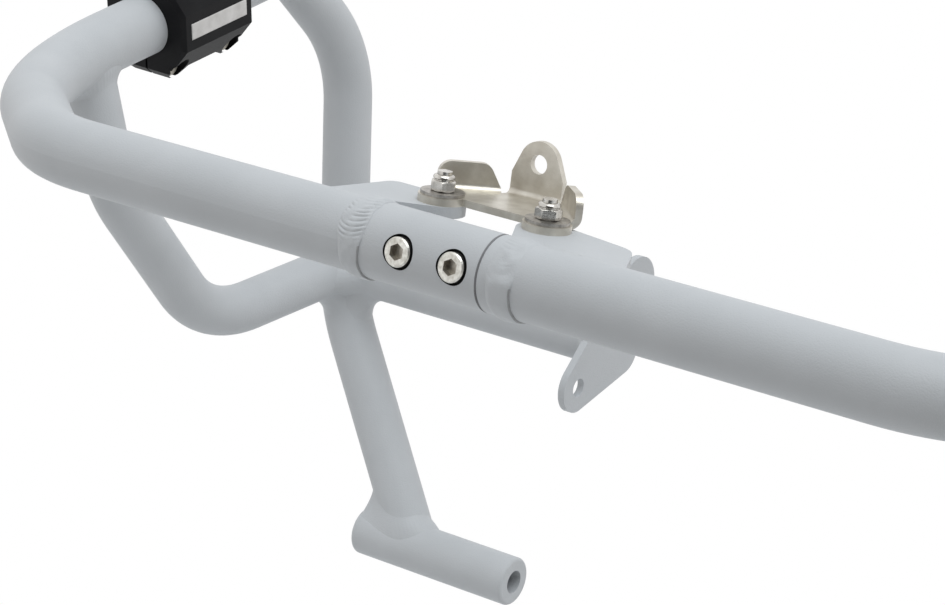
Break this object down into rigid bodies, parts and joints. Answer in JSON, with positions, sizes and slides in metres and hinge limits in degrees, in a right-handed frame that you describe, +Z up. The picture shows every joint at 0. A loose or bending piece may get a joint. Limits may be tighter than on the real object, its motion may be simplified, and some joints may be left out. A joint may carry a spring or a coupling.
{
  "type": "motorcycle crash bars",
  "caption": "Bent tube engine guard for a motorcycle, plugged together in front, with a folded hanger bracket, bolt-on tabs, engine bosses and clamp-on pads.",
  "frame": {"origin": "centre of the hanger hole in the front bracket's tongue, on the bike's centre plane", "axes": "+X to the rider's left, +Y to the rear of the bike, +Z up"},
  "size_m": [0.568, 0.342, 0.2881],
  "materials": {
    "powder_coat": "fine-texture matte powder coat, cool light grey",
    "stainless": "satin stainless sheet and fasteners",
    "zinc_steel": "bright zinc-plated screws",
    "pad_plastic": "black moulded polymer, satin",
    "pad_inlay": "plain satin strip",
    "cap_plastic": "black moulded cap, matte"
  },
  "bodies": {
    "root": {"bracket_nuts": "stainless", "bracket_screws": "stainless", "bracket_washers": "stainless", "front_bracket": "stainless", "joint_screws": "zinc_steel", "left_brace_tube": "powder_coat", "left_cross_tube": "powder_coat", "left_ear": "powder_coat", "left_end_cap": "cap_plastic", "left_engine_boss": "powder_coat", "left_frame_tab": "powder_coat", "left_joint_bead": "powder_coat", "left_joint_spigot": "powder_coat", "left_main_tube": "powder_coat", "left_pad_inlays": "pad_inlay", "left_pad_inner_shell": "pad_plastic", "left_pad_outer_shell": "pad_plastic", "left_pad_screws": "zinc_steel", "left_upright_tube": "powder_coat", "right_brace_tube": "powder_coat", "right_cross_tube": "powder_coat", "right_ear": "powder_coat", "right_end_cap": "cap_plastic", "right_engine_boss": "powder_coat", "right_frame_tab": "powder_coat", "right_joint_bead": "powder_coat", "right_joint_sleeve": "powder_coat", "right_main_tube": "powder_coat", "right_pad_inlays": "pad_inlay", "right_pad_inner_shell": "pad_plastic", "right_pad_outer_shell": "pad_plastic", "right_pad_screws": "zinc_steel", "right_upright_tube": "powder_coat"}
  },
  "joints": []
}
